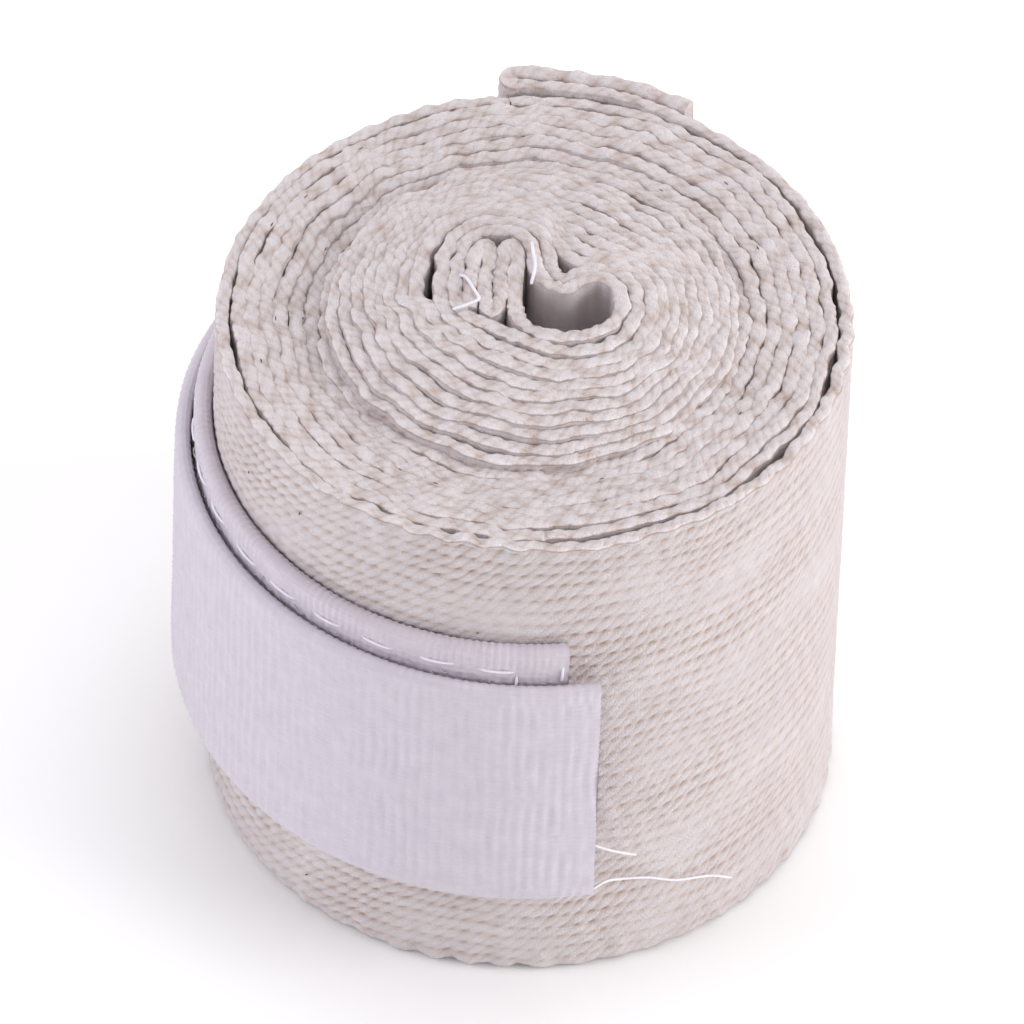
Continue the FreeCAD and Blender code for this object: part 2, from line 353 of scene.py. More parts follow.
# %% [markdown]
# ## The weave
# The band is a coarse open weave. Its rows run along the band, 1.33 mm apart, and each row looks like
# a rope of slanting strands, one every 1.07 mm. Where the slant crosses the dip between two rows, a
# small pit shows. The relief below is that pattern, drawn from those three facts.

# %% Relief of the cloth
ROW = 1.33
STRAND = 1.07
SLANT = 1.2


def cloth_relief(s, z, side):
    """How far the yarn stands out, in millimetres, at a length along the band and a height."""
    zz = z + 0.30 * wobble(s, z, 14.0, 11) + 0.10 * wobble(s, z, 4.0, 12)
    ss = s + 0.25 * wobble(s, z, 6.0, 13)
    row = zz / ROW
    dip = np.abs(np.mod(row, 1.0) - 0.5) * 2
    strand = np.mod(ss / STRAND - SLANT * row, 1.0) - 0.5
    strength = np.clip(0.85 + 0.35 * wobble(s, z, 11.0, 14), 0.35, 1.2)
    rope = -0.09 * dip ** 2.5
    groove = -0.10 * np.exp(-(np.abs(np.abs(strand) - 0.5) / 0.13) ** 2) * (1 - 0.7 * dip ** 2)
    pit = -0.15 * np.exp(-((1 - dip) / 0.26) ** 2) * np.exp(-((np.abs(strand) - 0.5) / 0.24) ** 2)
    return (rope + groove + pit) * strength + 0.03 * wobble(s, z, 1.6, 15)


def edge_rope(s, across, z):
    """Relief of the selvage: soft strands that cross the edge at a slant, and an uneven thickness."""
    strand = np.mod(s / STRAND + 0.42 * across + 0.35 * wobble(s, s * 0.37, 5.0, 21), 1.0) - 0.5
    yarn = np.mod(s / 3.1 - 0.5 * across + 0.3 * wobble(s, s * 0.37, 9.0, 23), 1.0) - 0.5
    return (-0.07 * np.exp(-(np.abs(np.abs(strand) - 0.5) / 0.17) ** 2)
            - 0.08 * np.exp(-(np.abs(np.abs(yarn) - 0.5) / 0.12) ** 2) + 0.06 * wobble(s, z, 2.2, 22))


def hidden_relief(s, z, side):
    """Relief of a face that lies against the next turn: only its first few millimetres can be seen."""
    return 0.5 * edge_rope(s, side, z) + 0.03 * wobble(s, z * 0.3, 1.6, 24)


# %% [markdown]
# ## The wound cloth
# Pulled tight, the turns lie about 1.13 mm apart. They were wound by hand, so the edges wander and
# wave, and the middle of the roll, wound first and loosest, has slipped up a little. The faces between
# two turns are hidden, so they get few rows and the edges get many.

# %% Lines that the turns follow
LAST_START = -262.0
FRONT_PRESS = 250.0
RIGHT_PRESS = 35.0
LEAST_PRESS = 0.13


def from_angle(angle, place):
    """Signed way round the roll from a place on it, from -180 to 180 degrees."""
    return np.mod(angle - place + 180.0, 360.0) - 180.0


def hem_sink(angle):
    """How far the last stretch of the band sinks into the roll under its hem."""
    return 0.5 * np.clip((angle - 35.0) / 50.0, 0, 1)


def spiral_line(start, end, step):
    """Middle line of the band between two angles, with its length counted from the band's end."""
    n = int(abs(end - start) * math.pi / 180 * 24 / step)
    angle = np.linspace(start, end, n)
    radius = cloth_middle(angle)
    a = np.radians(angle)
    drift = np.clip((-150.0 - angle) / 200.0, 0, 1)
    front, right = from_angle(angle, FRONT_PRESS), from_angle(angle, RIGHT_PRESS)
    push = 0.30 * np.exp(-(front / 42.0) ** 2) + 0.26 * np.exp(-(right / 38.0) ** 4)
    push = np.maximum(push, LEAST_PRESS)
    radius = radius + push * np.clip((radius - 18) / 5, 0, 1) * (angle < LAST_START - 0.5)
    radius = radius - hem_sink(angle)
    loose = 1 + drift * 0.09 / radius * wobble(angle * 0.42, angle * 0.1, 11.0, 33)
    x, y = radius * loose * np.cos(a), radius * loose * np.sin(a)
    x = x + 0.20 * drift * wobble(x, y, 7.0, 31)
    y = y + 0.20 * drift * wobble(x, y, 7.0, 32)
    s = np.concatenate([[0], np.cumsum(np.hypot(np.diff(x), np.diff(y)))])
    return angle, (x, y, s)


def edge_wave(x, y, amount, seed, fewest, most):
    """Sideways waves of the edges, which die out towards the middle of the band. Each wave runs round
    the roll a whole number of times, so the waves of neighbouring turns lie in one another."""
    rng = np.random.default_rng(seed)
    angle, r = np.arctan2(y, x), np.hypot(x, y)
    total = np.zeros(len(x))
    for _ in range(9):
        count, slant, start = rng.integers(fewest, most), rng.uniform(-0.9, 0.9), rng.uniform(0, 6.3)
        total += np.sin(count * angle + slant * r + start)
    total *= amount * 0.5

    def wave(s, z, low, high):
        return total[:, None] * np.exp(-np.minimum(high - z, z - low) / 1.8)
    return wave


# %% The outer group of turns
TILT = 0.16
CORE_R = (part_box("inner_coil")[1].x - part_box("inner_coil")[0].x) / MM / 2


def top_height(x, y, seed):
    """Height of the band's upper edge over the roll, with the dip beside the core."""
    r = np.hypot(x, y)
    left = 0.5 - 0.5 * x / np.maximum(r, 1e-6)
    dip = (0.1 + 0.9 * left) * np.exp(-((r - CORE_R - 0.6) / (1.6 + 1.4 * left)) ** 2)
    return BAND_WIDTH - 0.15 - dip + TILT * wobble(x, y, 9.0, seed)


def bottom_height(x, y, seed):
    """Height of the band's lower edge, which rests on the table."""
    return 0.12 + 0.10 * (1 + wobble(x, y, 6.0, seed))


STEP_TURN = 75.0
INNER_START = -2880.0 + STEP_TURN
UNDER_START = -443.0
TURN_STEP = 0.24
EDGE_ROUND = 0.42
hidden = np.array([0, 0.01, 0.03, 0.10, 0.40, 0.75, 0.90, 0.95, 0.97, 0.982, 0.992, 1.0])
turn_profile = np.array([(0, f) for f in hidden] + [(1, f) for f in np.linspace(0, 1, 9)[1:-1]] +
                        [(2, f) for f in hidden[::-1]] + [(3, f) for f in np.linspace(0, 1, 6)[1:-1]])
angle, line = spiral_line(INNER_START, UNDER_START, TURN_STEP)
high = top_height(line[0], line[1], 42) + 0.08 * wobble(line[2], line[2] * 0.2, 17.0, 46)
low = bottom_height(line[0], line[1], 41)
wave = edge_wave(line[0], line[1], 0.06, 43, 34, 60)
points, marks = strip_grid(line, 1.34, low, high, turn_profile, hidden_relief, edge_rope, wave, EDGE_ROUND)
grid = (points, marks, grid_normals(points))
outer_turns = grid_piece("outer_turns", grid, 0, len(angle) - 1, cotton, True)
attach(outer_turns, "roll")
print("outer turns: %.0f mm of band" % line[2][-1])

# %% The last turns, with the full weave on their outer face
fine_rows = int(BAND_WIDTH / 0.22)
face_profile = section(fine_rows, 7, 40)
half_profile = section(int(BAND_WIDTH / 0.36), 7, 24)


def band_part(start, end, step, profile, seed):
    """Grid of a stretch of the band between two angles."""
    angle, line = spiral_line(start, end, step)
    low = bottom_height(line[0], line[1], 41)
    high = top_height(line[0], line[1], 42) + 0.5 * np.clip((angle - 58.0) / 16.0, 0, 1)
    wave = edge_wave(line[0], line[1], 0.07, seed, 42, 66)
    points, marks = strip_grid(line, CLOTH - 0.03, low, high, profile, cloth_relief, edge_rope, wave, 0.6)
    return angle, line, (points, marks, grid_normals(points))


angle, line, grid = band_part(UNDER_START, LAST_START, 0.36, half_profile, 44)
under_turn = grid_piece("under_turn", grid, 0, len(angle) - 1, cotton)
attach(under_turn, "roll")
angle, line, grid = band_part(LAST_START, CLOTH_END + 0.7, 0.22, face_profile, 45)
cut = int(np.argmin(np.abs(angle - bend(-0.5))))
last_turn = grid_piece("last_turn", grid, 0, cut, cotton)
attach(last_turn, "roll")
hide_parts("outer_coil")

# %% The half turn that peels away
BODIES = ["roll"] + [j["child"] for j in peel]


def bend_over(piece):
    """Bakes the piece's placement into its mesh; the piece is attached to no body."""
    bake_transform(piece)


def chain_pieces(name, angle, grid, first, last, material, nodes, stiff_start=False):
    """Cuts a strip into one piece for each joint that it crosses, and stiff ends, which are attached to
    bodies.
    """
    made = []
    for k in range(first, last + 2):
        starts_here = k == first and stiff_start
        i = 0 if starts_here else int(np.argmin(np.abs(angle - bend(k - 0.5))))
        j = int(np.argmin(np.abs(angle - bend(k + 0.5)))) if k <= last else len(angle) - 1
        piece = grid_piece("%s_%02d" % (name, k + 1), grid, i, j, material, starts_here, k == last + 1)
        if starts_here:
            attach(piece, BODIES[k + 1])
        elif k <= last:
            bend_over(piece)
        else:
            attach(piece, BODIES[k])
        made.append(piece)
    for piece, group in zip(made, nodes):
        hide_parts(*group)
    return made


band_nodes = [["band_link_%02d" % (k + 1)] for k in range(9)] + [["hem_link_01"], ["hem_link_02"]]
band_pieces = chain_pieces("band", angle, grid, 0, 10, cotton, band_nodes)
print("band: %d pieces that peel" % len(band_pieces))

# %% [markdown]
# ## The folded hem
# At the band's end the cloth is folded outwards once, so that the raw edge lies on the back and the
# hook tape has two layers to be sewn to. The flap is one more strip, which curls round the end.

# %% Hem flap
FLAP_START = bend(9) + 0.4
HOOK_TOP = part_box("hook_tape_link_05")[1].z / MM
HOOK_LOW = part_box("hook_tape_link_05")[0].z / MM
LOOP_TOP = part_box("loop_tape")[1].z / MM + 0.7
LOOP_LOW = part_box("loop_tape")[0].z / MM


def line_from(angle, radius):
    """Line through polar points, with its length."""
    a = np.radians(angle)
    x, y = radius * np.cos(a), radius * np.sin(a)
    s = np.concatenate([[0], np.cumsum(np.hypot(np.diff(x), np.diff(y)))])
    return x, y, s


PUFF = 1.55
FLAP_GAP = CLOTH / 2 + PUFF / 2 - 0.08


def flap_grid():
    """Grid of the hem's outer layer, whose last columns curl down into the cloth's end."""
    flat = np.linspace(FLAP_START, CLOTH_END, 66)
    radius = cloth_middle(flat) - hem_sink(flat) + FLAP_GAP
    curl = np.linspace(0, math.pi, 12)[1:]
    small = FLAP_GAP / 2
    tip_radius = radius[-1] - small + small * np.cos(curl)
    tip = CLOTH_END + np.degrees(small * 1.15 * np.sin(curl) / 27.0)
    angle, radius = np.concatenate([flat, tip]), np.concatenate([radius, tip_radius])
    x, y, s = line_from(angle, radius)
    high = top_height(x, y, 42) + 0.5 * np.clip((angle - 52.0) / 16.0, 0, 1)
    high = high + 0.15 + 0.15 * wobble(s, s * 0.3, 5.0, 51)
    low = 0.25 + 0.1 * wobble(s, s * 0.3, 7.0, 52)
    wave = edge_wave(x, y, 0.08, 53, 42, 66)
    points, marks = strip_grid((x, y, s), PUFF, low, high, half_profile, cloth_relief, edge_rope, wave, 0.8)
    return angle, (points, marks, grid_normals(points))


angle, grid = flap_grid()
flap_pieces = chain_pieces("hem_flap", angle, grid, 9, 10, cotton, [], True)
print("hem: %d pieces" % len(flap_pieces))

# %% [markdown]
# ## The core
# Rolling starts with a few flat folds of the band's inner end, and the first turns keep that shape:
# they run round a heart-shaped hollow on one side and past the folds on the other. A line through a
# few listed points draws them, and it then runs on into the even turns of the core. The core's
# outermost turn shows when the core slides up, so it gets the full weave and the others don't.

# %% Line of the innermost folds
FIRST_FOLDS = [
    (-4.8, -1.8), (-4.9, 1.6), (-4.7, 4.6), (-4.1, 5.6), (-3.6, 4.6), (-3.75, 2.0), (-3.6, -0.8),
    (-3.0, -2.0), (-2.45, -0.8), (-2.55, 2.0), (-2.4, 4.6), (-1.9, 5.6), (-1.35, 4.4), (-1.45, 2.2),
    (-1.3, -0.6), (-0.7, -2.6), (0.7, -3.9), (2.9, -4.3), (5.2, -3.6), (6.9, -1.7), (7.2, 0.7),
    (6.2, 2.3), (4.4, 2.4), (2.7, 1.2), (1.3, 1.5), (0.2, 3.0), (-0.2, 4.8), (-1.0, 6.4),
    (-2.8, 7.0), (-4.7, 6.8), (-5.8, 5.0), (-6.1, 1.9), (-5.9, -0.9), (-4.9, -2.6), (-3.0, -3.5),
    (-0.8, -4.7), (1.2, -5.4), (3.6, -5.6), (6.3, -4.6), (8.1, -2.2), (8.4, 0.9), (7.2, 3.2),
    (4.7, 3.5), (2.7, 2.35), (1.75, 2.65), (1.3, 3.7), (0.9, 5.4), (-0.1, 7.3), (-2.5, 8.2),
    (-5.1, 7.9), (-6.8, 5.8), (-7.3, 2.2), (-7.0, -1.2),
]
TURN_CENTRE = np.array([0.6, 0.4])
OUTSIDE_TURN = 384.0


def curve_between(p, slope, i, h, u):
    """Points of the smooth curve from point i to the next, h apart, at shares u of the way."""
    return ((2 * u ** 3 - 3 * u ** 2 + 1) * p[i] + (u ** 3 - 2 * u ** 2 + u) * h * slope[i] +
            (3 * u ** 2 - 2 * u ** 3) * p[i + 1] + (u ** 3 - u ** 2) * h * slope[i + 1])


def smooth_line(points, step):
    """Smooth line through points, sampled at an even step."""
    p = np.array(points)
    t = np.concatenate([[0], np.cumsum(np.sqrt(np.linalg.norm(np.diff(p, axis=0), axis=1)))])
    slope = np.gradient(p, t, axis=0)
    fine = []
    u = np.linspace(0, 1, 24, endpoint=False)[:, None]
    for i in range(len(p) - 1):
        fine.append(curve_between(p, slope, i, t[i + 1] - t[i], u))
    fine = np.concatenate(fine + [p[-1:]])
    s = np.concatenate([[0], np.cumsum(np.linalg.norm(np.diff(fine, axis=0), axis=1))])
    even = np.arange(0, s[-1], step)
    return np.interp(even, s, fine[:, 0]), np.interp(even, s, fine[:, 1])


def core_line(step):
    """Line of the core: the first folds, then turns that grow rounder up to the core's edge."""
    p = np.array(FIRST_FOLDS) - TURN_CENTRE
    radius, angle = np.hypot(p[:, 0], p[:, 1]), np.degrees(np.unwrap(np.arctan2(p[:, 1], p[:, 0])))
    last_turn = angle > angle[-1] - 372.0
    inner = radius[last_turn][0] + 0.12
    last_radius = CORE_R + 0.4 - CLOTH / 2
    share = (radius[-1] - inner) / (last_radius - inner)
    stop = angle[-1] + 360.0 * (1 / share - 1)
    stop += (STEP_TURN - stop + 180.0) % 360.0 - 180.0
    sweep = np.arange(angle[-1] + 14.0, stop, 12.0)
    start = np.interp((sweep - angle[-1]) % 360.0 + angle[-1] - 360.0, angle[last_turn], radius[last_turn])
    grown = share + (1 - share) * (sweep - angle[-1]) / (stop - angle[-1])
    outward = start + (last_radius - start) * grown
    centre = TURN_CENTRE[None, :] * (1 - grown[:, None])
    a = np.radians(sweep)
    turns = centre + np.stack([outward * np.cos(a), outward * np.sin(a)], axis=1)
    x, y = smooth_line(FIRST_FOLDS + turns.tolist(), step)
    calm = np.clip((np.hypot(x, y) - 7.0) / 4.0, 0, 1)
    s = np.concatenate([[0], np.cumsum(np.hypot(np.diff(x), np.diff(y)))])
    loose = 1 + calm * 0.09 / np.maximum(np.hypot(x, y), 1) * wobble(s, s * 0.2, 13.0, 66)
    x = x * loose + 0.16 * calm * wobble(x, y, 6.0, 61)
    y = y * loose + 0.16 * calm * wobble(x, y, 6.0, 62)
    print("inner turns: %.1f" % ((stop - angle[0]) / 360.0))
    return x, y, s


CORE_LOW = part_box("inner_coil")[0].z / MM
CORE_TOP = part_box("inner_coil")[1].z / MM
line = core_line(TURN_STEP)
x, y, s = line
crown = CORE_TOP - 2.3 * np.clip((np.hypot(x, y) - 5.0) / (CORE_R - 5.0), 0, 1) ** 1.5
crown = crown - 0.35 * np.exp(-(np.hypot(x + 6.6, y - 0.5) / 1.6) ** 2)
high = crown - 0.25 + 0.16 * wobble(x, y, 6.0, 63) + 0.08 * wobble(s, s * 0.2, 15.0, 67)
low = CORE_LOW + 0.15 + 0.12 * (1 + wobble(x, y, 6.0, 64))
wave = edge_wave(x, y, 0.06, 65, 16, 34)
points, marks = strip_grid(line, 1.32, low, high, turn_profile, hidden_relief, edge_rope, wave, EDGE_ROUND)
around_axis = np.degrees(np.unwrap(np.arctan2(y, x)))
cut = int(np.argmax(around_axis > around_axis[-1] - OUTSIDE_TURN))
core_turns = grid_piece("core_turns", (points, marks, grid_normals(points)), 0, cut, cotton, True)
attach(core_turns, "core")
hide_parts("inner_coil", "core_folds", "thumb_loop")

# %% Outermost turn of the core, which shows its weave when the core slides up
tail = tuple(v[cut - 1:] for v in line)
low, high = low[cut - 1:], high[cut - 1:]
wave = edge_wave(tail[0], tail[1], 0.06, 65, 16, 34)
points, marks = strip_grid(tail, CLOTH, low, high, half_profile, cloth_relief, edge_rope, wave, 0.6)
grid = (points, marks, grid_normals(points))
core_outside = grid_piece("core_outside", grid, 0, len(tail[0]) - 1, cotton, False, True)
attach(core_outside, "core")

# %% [markdown]
# ## The hook tape
# The tab that closes the roll is a 25 mm nylon tape. Its back is woven, with ribs along it and fine
# weft lines across, and its two long edges are firm selvages. It is sewn to the hem and then leaves
# the cloth, so it follows the frame's links all the way to its clean-cut free end.

# %% Hook tape
HOOK_BACK = 1.22


def tape_outside(angle):
    """Radius of the hook tape's outer face, read from the frame's joints where it has them."""
    known = [bend(k) for k in range(12, 23)]
    radii = [math.hypot(*peel[k]["pos_m"][:2]) / MM for k in range(12, 23)]
    hem = cloth_middle(CLOTH_END) + CLOTH * 1.5 + 1.2
    table = [(bend(9), cloth_middle(bend(9)) + CLOTH * 1.5 + 1.2), (CLOTH_END, hem)]
    table += list(zip(known, radii)) + [(TAPE_END, radii[-1])]
    angles, values = zip(*table)
    return np.interp(angle, angles, values)


def softened(values, width):
    """Running average that rounds the corners of a table of values."""
    kernel = np.hanning(width) / np.hanning(width).sum()
    padded = np.pad(values, width // 2, mode="edge")
    return np.convolve(padded, kernel, mode="same")[width // 2:-(width // 2)]


def tape_relief(s, z, side):
    """Relief of the woven back: selvage ribs at the edges, weft lines and soft ribs between."""
    edge = np.minimum(np.abs(z - HOOK_TOP), np.abs(z - HOOK_LOW))
    selvage = 1 / (1 + np.exp((edge - 1.6) / 0.15))
    weft = 0.03 * np.cos(2 * math.pi * (z + 0.10 * wobble(s, z, 2.5, 71)) / 0.62)
    rib = 0.03 * wobble(s, z * 0.3, 1.2, 72)
    rib = rib + 0.05 * np.cos(2 * math.pi * s / 0.95 + wobble(s, z, 8.0, 73))
    comb = 0.06 * np.cos(2 * math.pi * s / 0.75)
    return selvage * comb + (1 - selvage) * (weft + rib) + 0.03 * wobble(s, z, 7.0, 74)


def tape_edge(s, across, z):
    """Relief of a tape's narrow edge."""
    return 0.04 * np.cos(2 * math.pi * s / 0.75)


tape_angle = np.linspace(bend(9) + 0.4, TAPE_END - 0.3, 400)
tape_radius = softened(tape_outside(tape_angle), 25) - HOOK_BACK / 2
x, y, s = line_from(tape_angle, tape_radius)
tape_profile = section(84, 3, 24)
low = HOOK_LOW + 0.1 + 0.1 * np.cos(s / 9.0)
high = HOOK_TOP - 0.1 + 0.1 * np.cos(s / 11.0)
points, marks = strip_grid((x, y, s), HOOK_BACK, low, high, tape_profile, tape_relief, tape_edge)
grid = (points, marks, grid_normals(points))
tape_nodes = [["hook_tape_link_%02d" % (k + 1)] for k in range(14)]
tape_pieces = chain_pieces("hook_tape", tape_angle, grid, 9, 22, hook_nylon,
                           tape_nodes, True)
print("hook tape: %.0f mm long, %d pieces" % (s[-1], len(tape_pieces)))

# %% [markdown]
# ## The loop tape
# The softer half of the fastening is sewn to the last turn. It lies a little higher than the hook
# tape, so its ribbed upper selvage and a seam show above the tab.

# %% Loop tape
LOOP_END = 281.7
LOOP_START = 99.4
LOOP_BACK = 1.45


def loop_relief(s, z, side):
    """Ribbed selvages and a plain ground between them."""
    edge = np.minimum(np.abs(z - LOOP_TOP), np.abs(z - LOOP_LOW))
    selvage = 1 / (1 + np.exp((edge - 2.2) / 0.2))
    ribs = 0.06 * np.cos(2 * math.pi * s / 0.62 + 0.5 * wobble(s, z, 5.0, 81))
    ground = 0.05 * wobble(s, z, 0.9, 82) + 0.03 * wobble(s, z, 4.0, 83)
    return selvage * ribs + (1 - selvage) * (ground - 0.04)


def loop_edge(s, across, z):
    """Relief of the loop tape's narrow edge."""
    return 0.05 * np.cos(2 * math.pi * s / 0.62)


loop_angle = np.linspace(LOOP_START, LOOP_END, 420)
x, y, s = line_from(loop_angle, cloth_middle(loop_angle - 360.0) + CLOTH / 2 + 0.06 + LOOP_BACK / 2)
loop_profile = section(110, 3, 10)
low = LOOP_LOW + 0.05 + 0 * s
high = LOOP_TOP - 0.12 + 0.10 * np.cos(s / 7.0)
points, marks = strip_grid((x, y, s), LOOP_BACK, low, high, loop_profile, loop_relief, loop_edge)
grid = (points, marks, grid_normals(points))
loop_tape = grid_piece("loop_tape_ground", grid, 0, len(s) - 1, loop_nylon, True, True)
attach(loop_tape, "roll")
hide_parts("loop_tape")

# %% [markdown]
# ## Threads, hooks and loops
# Stitches, loose threads, hooks and pile loops are all thin round strands, so one function makes any
# number of small tubes in one mesh. Each strand is a short line of points, and all strands of a piece
# share one radius. A curve object with a bevel would draw the same threads, but a mesh can also carry
# the marks that the materials read.

# %% Many small tubes in one mesh
def tubes(name, strands, radius, sides, material):
    """One mesh of thin tubes along lines of points in millimetres. Tubes of four sides are closed."""
    verts, quads, marks = [], [], []
    start = 0
    for points in strands:
        p = np.asarray(points, float)
        t = np.gradient(p, axis=0)
        t /= np.maximum(np.linalg.norm(t, axis=1, keepdims=True), 1e-9)
        ref = np.array([0.0, 0.0, 1.0]) if abs(t[0][2]) < 0.9 else np.array([1.0, 0.0, 0.0])
        u = np.cross(t, ref)
        u /= np.maximum(np.linalg.norm(u, axis=1, keepdims=True), 1e-9)
        v = np.cross(t, u)
        n = len(p)
        ends = np.ones(n)
        ends[0] = ends[-1] = 0.45
        turn = np.linspace(0, 2 * math.pi, sides, endpoint=False)
        ring = (np.cos(turn)[None, :, None] * u[:, None, :] + np.sin(turn)[None, :, None] * v[:, None, :])
        verts.append((p[:, None, :] + ring * (radius * ends)[:, None, None]).reshape(-1, 3))
        s = np.concatenate([[0], np.cumsum(np.linalg.norm(np.diff(p, axis=0), axis=1))])
        marks.append(np.stack([np.repeat(s, sides) + start * 0.01, np.tile(turn * radius, n),
                               np.zeros(n * sides)], axis=1))
        i, j = np.meshgrid(np.arange(n - 1), np.arange(sides), indexing="ij")
        k = (j + 1) % sides
        quads.append(start + np.stack([i * sides + j, i * sides + k, (i + 1) * sides + k,
                                       (i + 1) * sides + j], axis=2).reshape(-1, 4))
        if sides == 4:
            last = (n - 1) * sides
            quads.append(start + np.array([[3, 2, 1, 0], [last, last + 1, last + 2, last + 3]]))
        start += n * sides
    verts, quads, marks = (np.concatenate(rows) for rows in (verts, quads, marks))
    return make_mesh(name, verts, quads, marks, None, material)


def on_roll(angle, radius, z):
    """Point at an angle, radius and height."""
    a = np.radians(angle)
    return np.stack(np.broadcast_arrays(radius * np.cos(a), radius * np.sin(a), z), axis=-1)


# %% Seams of the loop tape
LOOP_SEAM_THREAD = 0.12
HOOK_SEAM_THREAD = 0.15


def stitch(face, start, length, z, rise=0.22, lean=0.0):
    """One visible stitch: a short thread that dives into the tape at both ends."""
    f = np.linspace(0, 1, 7)
    angle = start + length * f
    return on_roll(angle, face(angle) + rise * np.sin(math.pi * f) ** 0.6 - 0.08, z + lean * (f - 0.5))


def seam(face, start, end, z, seed, pitch=4.8, length=3.1, sag=0.0):
    """Row of stitches between two angles."""
    rng = np.random.default_rng(seed)
    radius = float(face(np.array((start + end) / 2)))
    step, long = (math.degrees(v / radius) for v in (pitch, length))
    rows, angle = [], start + 0.4
    while angle + long < end:
        rows.append(stitch(face, angle, long * rng.uniform(0.9, 1.05), z + rng.normal(0, 0.07),
                           0.22 + sag * rng.uniform(0.3, 1), rng.normal(0, 0.12)))
        angle += step * rng.uniform(0.94, 1.06)
    return rows


def loop_face(angle):
    """Outer face of the loop tape's ground."""
    return cloth_middle(np.asarray(angle) - 360.0) + CLOTH / 2 + 0.02 + LOOP_BACK


def cross_rows(face, angle, low, high, seed):
    """Column of short upright stitches."""
    rng = np.random.default_rng(seed)
    rows, z = [], low
    while z < high - 1.6:
        f = np.linspace(0, 1, 6)
        a = angle + rng.normal(0, 0.12) + 0.25 * (f - 0.5)
        rows.append(on_roll(a, face(a) + 0.2 * np.sin(math.pi * f) - 0.06, z + 1.9 * f))
        z += 2.5
    return rows


SEAM_TOP = LOOP_TOP - 2.3
strands = seam(loop_face, LOOP_START + 1, LOOP_END - 1.5, SEAM_TOP, 91)
strands += seam(loop_face, LOOP_START + 1, LOOP_END - 1.5, LOOP_LOW + 3.0, 92)
strands += cross_rows(loop_face, LOOP_END - 9.0, LOOP_LOW + 3.5, SEAM_TOP, 93)
strands += cross_rows(loop_face, LOOP_END - 1.2, LOOP_TOP - 6.0, LOOP_TOP - 0.5, 94)
loop_seams = tubes("loop_tape_seams", strands, LOOP_SEAM_THREAD, 6, thread_finish)
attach(loop_seams, "roll")
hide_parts("loop_tape_stitches")


# %% Seams of the hook tape on the hem
def hook_face(angle):
    """Outer face of the hook tape."""
    return np.interp(angle, tape_angle, tape_radius + HOOK_BACK / 2)


for number, k in ((1, 9), (2, 10)):
    rows = seam(hook_face, bend(k) + 1, bend(k + 1) - 0.5, HOOK_TOP - 3.0, 95 + number, 2.6, 1.8)
    rows += seam(hook_face, bend(k) + 1, bend(k + 1) - 0.5, HOOK_LOW + 3.0, 97 + number, 2.6, 1.8)
    rows += cross_rows(hook_face, bend(k + 0.35), HOOK_LOW + 3.5, HOOK_TOP - 3.0, 99 + number)
    piece = tubes("hook_seams_%02d" % number, rows, HOOK_SEAM_THREAD, 6, thread_finish)
    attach(piece, BODIES[k + 1])
    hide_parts("hook_stitches_%02d" % number)

# %% [markdown]
# ### Pile and hooks
# The loop tape is covered in small soft arches of fine yarn, leaning all ways. The tab's inner face has
# rows of stiff nylon hooks, each a short upright that curls over at its tip, about 1.2 mm apart.

# %% Pile of the loop tape
PILE = 0.24
PILE_YARN = 0.045
rng = np.random.default_rng(7)
strands = []
for z in np.arange(LOOP_LOW + 1.6, HOOK_TOP - 0.6, 0.85):
    for a in np.arange(LOOP_START + 0.8, LOOP_END - 1.0, 1.9):
        angle, height = a + rng.normal(0, 0.35), z + rng.normal(0, 0.25)
        face = float(loop_face(angle)) - 0.08
        lean, wide = rng.normal(0, 0.30, 2), rng.uniform(0.25, 0.45)
        f = np.linspace(0, math.pi, 6)
        way = rng.uniform(0, 2 * math.pi)
        along = wide * np.cos(f) * math.cos(way) + lean[0] * np.sin(f)
        up = wide * np.cos(f) * math.sin(way) + lean[1] * np.sin(f)
        strands.append(on_roll(angle + np.degrees(along / 26), face + PILE * np.sin(f), height + up))
pile = tubes("loop_pile", strands, PILE_YARN, 3, loop_nylon)
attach(pile, "roll")
print("%d pile loops" % len(strands))

# %% Hooks on the inner face of the tab
HOOK_WIRE = 0.06
hook_count = 0
for k in range(11, 23):
    first, last = max(bend(k), CLOTH_END + 1.0), min(bend(k + 1), TAPE_END - 1.0)
    strands = []
    for a in np.arange(first + 0.6, last - 0.2, 2.6):
        for z in np.arange(HOOK_LOW + 2.4, HOOK_TOP - 2.2, 1.25):
            angle, height = a + rng.normal(0, 0.1), z + rng.normal(0, 0.05)
            base = float(hook_face(angle)) - HOOK_BACK + 0.05
            f = np.linspace(0, 1, 7)
            rise = np.where(f < 0.5, f * 2 * 0.14, 0.14 + 0.10 * np.sin((f - 0.5) * 2 * math.pi))
            over = np.where(f < 0.5, 0.0, 0.20 * (1 - np.cos((f - 0.5) * 2 * math.pi)))
            strands.append(on_roll(angle, base - rise, height + over))
    piece = tubes("hooks_%02d" % (k - 10), strands, HOOK_WIRE, 4, hook_nylon)
    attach(piece, BODIES[k + 1])
    hook_count += len(strands)
print("%d hooks" % hook_count)

# %% [markdown]
# ### Loose threads
# Where a seam ends, its thread is cut and a tail is left. Two tails hang at the tab's end and two short
# white ends lie on the folds in the middle. A few listed points give each its curve.

# %% Loose threads
TAIL_THREAD = 0.11
TACK_THREAD = 0.14
LOOSE = {
    "thread_tail_long": [(286.9, 27.9, 12.0), (289.5, 27.0, 11.6), (292.0, 26.3, 10.8), (298.0, 26.1, 9.8),
                         (304.0, 26.1, 8.2), (311.0, 26.15, 6.9), (316.0, 26.3, 5.2)],
    "thread_tail_short": [(286.9, 27.9, 17.2), (289.0, 27.8, 16.4), (291.5, 27.6, 15.5),
                          (294.5, 27.5, 14.6)],
}


